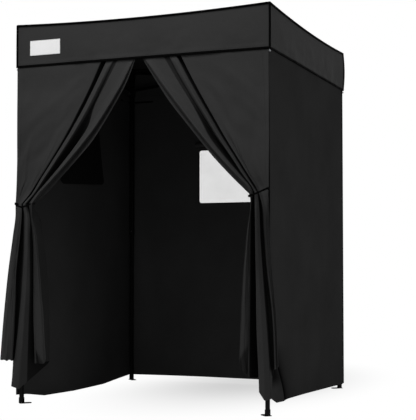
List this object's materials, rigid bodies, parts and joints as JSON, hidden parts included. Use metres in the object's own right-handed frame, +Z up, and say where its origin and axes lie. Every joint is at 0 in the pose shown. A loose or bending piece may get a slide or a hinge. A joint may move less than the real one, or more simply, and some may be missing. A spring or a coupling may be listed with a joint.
{
  "type": "portable fitting room",
  "caption": "Pop-up fitting room: folding steel frame on telescoping legs, fabric roof and valances, three walls with windows, and two tied-back curtains.",
  "frame": {"origin": "middle of the whole object's footprint, on the floor; the tied curtains stand forward of the canopy, so the canopy's own middle lies 47 mm behind it", "axes": "+Z up, -Y out of the open front, +X to the right as seen from the front"},
  "size_m": [1.677, 1.6143, 2.16],
  "materials": {
    "canopy_fabric": "matte",
    "wall_fabric": "matte",
    "curtain_fabric": "matte",
    "black_steel": "satin",
    "black_nylon": "satin",
    "zinc_steel": "satin",
    "clear_vinyl": "gloss"
  },
  "bodies": {
    "leg_front_left": {"outer_leg_front_left": "black_steel", "corner_bracket_front_left": "black_nylon", "valance_front": "canopy_fabric", "valance_left": "canopy_fabric", "wall_left": "wall_fabric", "window_pane_left": "clear_vinyl", "curtain_left": "curtain_fabric", "tieback_left": "curtain_fabric"},
    "leg_front_right": {"outer_leg_front_right": "black_steel", "corner_bracket_front_right": "black_nylon", "valance_right": "canopy_fabric", "wall_right": "wall_fabric", "curtain_right": "curtain_fabric", "tieback_right": "curtain_fabric"},
    "leg_back_left": {"outer_leg_back_left": "black_steel", "corner_bracket_back_left": "black_nylon", "valance_back": "canopy_fabric", "wall_back": "wall_fabric", "window_pane_back": "clear_vinyl"},
    "leg_back_right": {"outer_leg_back_right": "black_steel", "corner_bracket_back_right": "black_nylon"},
    "front_bar_left_high": {"front_bar_left_high": "black_steel", "roof_left": "canopy_fabric"},
    "front_bar_right_high": {"front_bar_right_high": "black_steel", "roof_right": "canopy_fabric"},
    "front_bar_left_low": {"front_bar_left_low": "black_steel"},
    "front_bar_right_low": {"front_bar_right_low": "black_steel"},
    "left_bar_front_high": {"left_bar_front_high": "black_steel"},
    "left_bar_back_high": {"left_bar_back_high": "black_steel"},
    "left_bar_front_low": {"left_bar_front_low": "black_steel"},
    "left_bar_back_low": {"left_bar_back_low": "black_steel"},
    "right_bar_front_high": {"right_bar_front_high": "black_steel"},
    "right_bar_back_high": {"right_bar_back_high": "black_steel"},
    "right_bar_front_low": {"right_bar_front_low": "black_steel"},
    "right_bar_back_low": {"right_bar_back_low": "black_steel"},
    "back_bar_left_high": {"back_bar_left_high": "black_steel"},
    "back_bar_right_high": {"back_bar_right_high": "black_steel"},
    "back_bar_left_low": {"back_bar_left_low": "black_steel"},
    "back_bar_right_low": {"back_bar_right_low": "black_steel"},
    "slider_front_left": {"slider_front_left": "black_nylon"},
    "lower_leg_front_left": {"inner_leg_front_left": "black_steel", "foot_front_left": "zinc_steel"},
    "leg_button_front_left": {"leg_button_front_left": "zinc_steel"},
    "slider_pin_front_left": {"slider_pin_front_left": "zinc_steel"},
    "slider_front_right": {"slider_front_right": "black_nylon"},
    "lower_leg_front_right": {"inner_leg_front_right": "black_steel", "foot_front_right": "zinc_steel"},
    "leg_button_front_right": {"leg_button_front_right": "zinc_steel"},
    "slider_pin_front_right": {"slider_pin_front_right": "zinc_steel"},
    "slider_back_left": {"slider_back_left": "black_nylon"},
    "lower_leg_back_left": {"inner_leg_back_left": "black_steel", "foot_back_left": "zinc_steel"},
    "leg_button_back_left": {"leg_button_back_left": "zinc_steel"},
    "slider_pin_back_left": {"slider_pin_back_left": "zinc_steel"},
    "slider_back_right": {"slider_back_right": "black_nylon"},
    "lower_leg_back_right": {"inner_leg_back_right": "black_steel", "foot_back_right": "zinc_steel"},
    "leg_button_back_right": {"leg_button_back_right": "zinc_steel"},
    "slider_pin_back_right": {"slider_pin_back_right": "zinc_steel"},
    "window_flap": {"window_flap_left": "wall_fabric"}
  },
  "joints": [
    {"name": "frame_fold", "type": "hinge", "parent": "leg_front_left", "child": "front_bar_left_high", "pos_m": [-0.705, -0.68225, 2.125], "axis": [0, 1, 0], "range_deg": [0, 79.7], "deforming": ["roof_left", "roof_right", "valance_front", "valance_back", "valance_left", "valance_right", "wall_left", "wall_right", "wall_back", "curtain_left", "curtain_right", "tieback_left", "tieback_right", "window_pane_left", "window_pane_back", "window_flap_left"]},
    {"name": "front_middle_low_pivot", "type": "hinge", "parent": "front_bar_left_high", "child": "front_bar_right_high", "pos_m": [0, -0.68785, 2.03844], "axis": [0, 1, 0], "range_deg": [-159.4, 0]},
    {"name": "front_left_cross_pivot", "type": "hinge", "parent": "front_bar_left_high", "child": "front_bar_left_low", "pos_m": [-0.20868, -0.68785, 2.06406], "axis": [0, 1, 0], "range_deg": [-159.4, 0]},
    {"name": "front_right_cross_pivot", "type": "hinge", "parent": "front_bar_right_high", "child": "front_bar_right_low", "pos_m": [0.20868, -0.68785, 2.06406], "axis": [0, 1, 0], "range_deg": [0, 159.4]},
    {"name": "front_right_bracket_pivot", "type": "hinge", "parent": "front_bar_right_high", "child": "leg_front_right", "pos_m": [0.705, -0.69345, 2.125], "axis": [0, 1, 0], "range_deg": [0, 79.7]},
    {"name": "front_left_slider_pivot", "type": "hinge", "parent": "front_bar_left_low", "child": "slider_front_left", "pos_m": [-0.705, -0.69345, 2.00312], "axis": [0, 1, 0], "range_deg": [0, 79.7]},
    {"name": "front_right_slider_pivot", "type": "hinge", "parent": "front_bar_right_low", "child": "slider_front_right", "pos_m": [0.705, -0.68225, 2.00312], "axis": [0, 1, 0], "range_deg": [-79.7, 0]},
    {"name": "left_front_bracket_pivot", "type": "hinge", "parent": "leg_front_left", "child": "left_bar_front_high", "pos_m": [-0.7406, -0.65785, 2.125], "axis": [-1, 0, 0], "range_deg": [0, 79.7]},
    {"name": "left_middle_low_pivot", "type": "hinge", "parent": "left_bar_front_high", "child": "left_bar_back_high", "pos_m": [-0.735, 0.04715, 2.03844], "axis": [-1, 0, 0], "range_deg": [-159.4, 0]},
    {"name": "left_front_cross_pivot", "type": "hinge", "parent": "left_bar_front_high", "child": "left_bar_front_low", "pos_m": [-0.735, -0.16153, 2.06406], "axis": [-1, 0, 0], "range_deg": [-159.4, 0]},
    {"name": "left_back_cross_pivot", "type": "hinge", "parent": "left_bar_back_high", "child": "left_bar_back_low", "pos_m": [-0.735, 0.25583, 2.06406], "axis": [-1, 0, 0], "range_deg": [0, 159.4]},
    {"name": "left_back_bracket_pivot", "type": "hinge", "parent": "left_bar_back_high", "child": "leg_back_left", "pos_m": [-0.7294, 0.75215, 2.125], "axis": [-1, 0, 0], "range_deg": [0, 79.7]},
    {"name": "left_back_slider_pivot", "type": "hinge", "parent": "left_bar_back_low", "child": "slider_back_left", "pos_m": [-0.7406, 0.75215, 2.00312], "axis": [-1, 0, 0], "range_deg": [-79.7, 0]},
    {"name": "right_front_bracket_pivot", "type": "hinge", "parent": "leg_front_right", "child": "right_bar_front_high", "pos_m": [0.7294, -0.65785, 2.125], "axis": [-1, 0, 0], "range_deg": [0, 79.7]},
    {"name": "right_middle_low_pivot", "type": "hinge", "parent": "right_bar_front_high", "child": "right_bar_back_high", "pos_m": [0.735, 0.04715, 2.03844], "axis": [-1, 0, 0], "range_deg": [-159.4, 0]},
    {"name": "right_front_cross_pivot", "type": "hinge", "parent": "right_bar_front_high", "child": "right_bar_front_low", "pos_m": [0.735, -0.16153, 2.06406], "axis": [-1, 0, 0], "range_deg": [-159.4, 0]},
    {"name": "right_back_cross_pivot", "type": "hinge", "parent": "right_bar_back_high", "child": "right_bar_back_low", "pos_m": [0.735, 0.25583, 2.06406], "axis": [-1, 0, 0], "range_deg": [0, 159.4]},
    {"name": "right_back_bracket_pivot", "type": "hinge", "parent": "right_bar_back_high", "child": "leg_back_right", "pos_m": [0.7406, 0.75215, 2.125], "axis": [-1, 0, 0], "range_deg": [0, 79.7]},
    {"name": "right_back_slider_pivot", "type": "hinge", "parent": "right_bar_back_low", "child": "slider_back_right", "pos_m": [0.7294, 0.75215, 2.00312], "axis": [-1, 0, 0], "range_deg": [-79.7, 0]},
    {"name": "back_left_bracket_pivot", "type": "hinge", "parent": "leg_back_left", "child": "back_bar_left_high", "pos_m": [-0.705, 0.78775, 2.125], "axis": [0, 1, 0], "range_deg": [0, 79.7]},
    {"name": "back_middle_low_pivot", "type": "hinge", "parent": "back_bar_left_high", "child": "back_bar_right_high", "pos_m": [0, 0.78215, 2.03844], "axis": [0, 1, 0], "range_deg": [-159.4, 0]},
    {"name": "back_left_cross_pivot", "type": "hinge", "parent": "back_bar_left_high", "child": "back_bar_left_low", "pos_m": [-0.20868, 0.78215, 2.06406], "axis": [0, 1, 0], "range_deg": [-159.4, 0]},
    {"name": "back_right_cross_pivot", "type": "hinge", "parent": "back_bar_right_high", "child": "back_bar_right_low", "pos_m": [0.20868, 0.78215, 2.06406], "axis": [0, 1, 0], "range_deg": [0, 159.4]},
    {"name": "leg_height_front_left", "type": "slide", "parent": "leg_front_left", "child": "lower_leg_front_left", "axis": [0, 0, 1], "range_m": [0, 0.94]},
    {"name": "leg_button_front_left", "type": "slide", "parent": "lower_leg_front_left", "child": "leg_button_front_left", "axis": [0, -1, 0], "range_m": [0, 0.005], "stiffness_N_per_m": 800},
    {"name": "slider_pin_front_left", "type": "slide", "parent": "slider_front_left", "child": "slider_pin_front_left", "axis": [0, 1, 0], "range_m": [0, 0.008], "stiffness_N_per_m": 600},
    {"name": "leg_height_front_right", "type": "slide", "parent": "leg_front_right", "child": "lower_leg_front_right", "axis": [0, 0, 1], "range_m": [0, 0.94]},
    {"name": "leg_button_front_right", "type": "slide", "parent": "lower_leg_front_right", "child": "leg_button_front_right", "axis": [0, -1, 0], "range_m": [0, 0.005], "stiffness_N_per_m": 800},
    {"name": "slider_pin_front_right", "type": "slide", "parent": "slider_front_right", "child": "slider_pin_front_right", "axis": [0, 1, 0], "range_m": [0, 0.008], "stiffness_N_per_m": 600},
    {"name": "leg_height_back_left", "type": "slide", "parent": "leg_back_left", "child": "lower_leg_back_left", "axis": [0, 0, 1], "range_m": [0, 0.94]},
    {"name": "leg_button_back_left", "type": "slide", "parent": "lower_leg_back_left", "child": "leg_button_back_left", "axis": [0, 1, 0], "range_m": [0, 0.005], "stiffness_N_per_m": 800},
    {"name": "slider_pin_back_left", "type": "slide", "parent": "slider_back_left", "child": "slider_pin_back_left", "axis": [0, -1, 0], "range_m": [0, 0.008], "stiffness_N_per_m": 600},
    {"name": "leg_height_back_right", "type": "slide", "parent": "leg_back_right", "child": "lower_leg_back_right", "axis": [0, 0, 1], "range_m": [0, 0.94]},
    {"name": "leg_button_back_right", "type": "slide", "parent": "lower_leg_back_right", "child": "leg_button_back_right", "axis": [0, 1, 0], "range_m": [0, 0.005], "stiffness_N_per_m": 800},
    {"name": "slider_pin_back_right", "type": "slide", "parent": "slider_back_right", "child": "slider_pin_back_right", "axis": [0, -1, 0], "range_m": [0, 0.008], "stiffness_N_per_m": 600},
    {"name": "window_flap_lift", "type": "hinge", "parent": "leg_front_left", "child": "window_flap", "pos_m": [-0.7571, 0.04715, 1.71], "axis": [0, -1, 0], "range_deg": [-6, 95]}
  ],
  "couplings": [
    {"joint": "front_middle_low_pivot", "follows": "frame_fold", "ratio": -2},
    {"joint": "front_left_cross_pivot", "follows": "frame_fold", "ratio": -2},
    {"joint": "front_right_cross_pivot", "follows": "frame_fold", "ratio": 2},
    {"joint": "front_right_bracket_pivot", "follows": "frame_fold", "ratio": 1},
    {"joint": "front_left_slider_pivot", "follows": "frame_fold", "ratio": 1},
    {"joint": "front_right_slider_pivot", "follows": "frame_fold", "ratio": -1},
    {"joint": "left_front_bracket_pivot", "follows": "frame_fold", "ratio": 1},
    {"joint": "left_middle_low_pivot", "follows": "frame_fold", "ratio": -2},
    {"joint": "left_front_cross_pivot", "follows": "frame_fold", "ratio": -2},
    {"joint": "left_back_cross_pivot", "follows": "frame_fold", "ratio": 2},
    {"joint": "left_back_bracket_pivot", "follows": "frame_fold", "ratio": 1},
    {"joint": "left_back_slider_pivot", "follows": "frame_fold", "ratio": -1},
    {"joint": "right_front_bracket_pivot", "follows": "frame_fold", "ratio": 1},
    {"joint": "right_middle_low_pivot", "follows": "frame_fold", "ratio": -2},
    {"joint": "right_front_cross_pivot", "follows": "frame_fold", "ratio": -2},
    {"joint": "right_back_cross_pivot", "follows": "frame_fold", "ratio": 2},
    {"joint": "right_back_bracket_pivot", "follows": "frame_fold", "ratio": 1},
    {"joint": "right_back_slider_pivot", "follows": "frame_fold", "ratio": -1},
    {"joint": "back_left_bracket_pivot", "follows": "frame_fold", "ratio": 1},
    {"joint": "back_middle_low_pivot", "follows": "frame_fold", "ratio": -2},
    {"joint": "back_left_cross_pivot", "follows": "frame_fold", "ratio": -2},
    {"joint": "back_right_cross_pivot", "follows": "frame_fold", "ratio": 2}
  ]
}
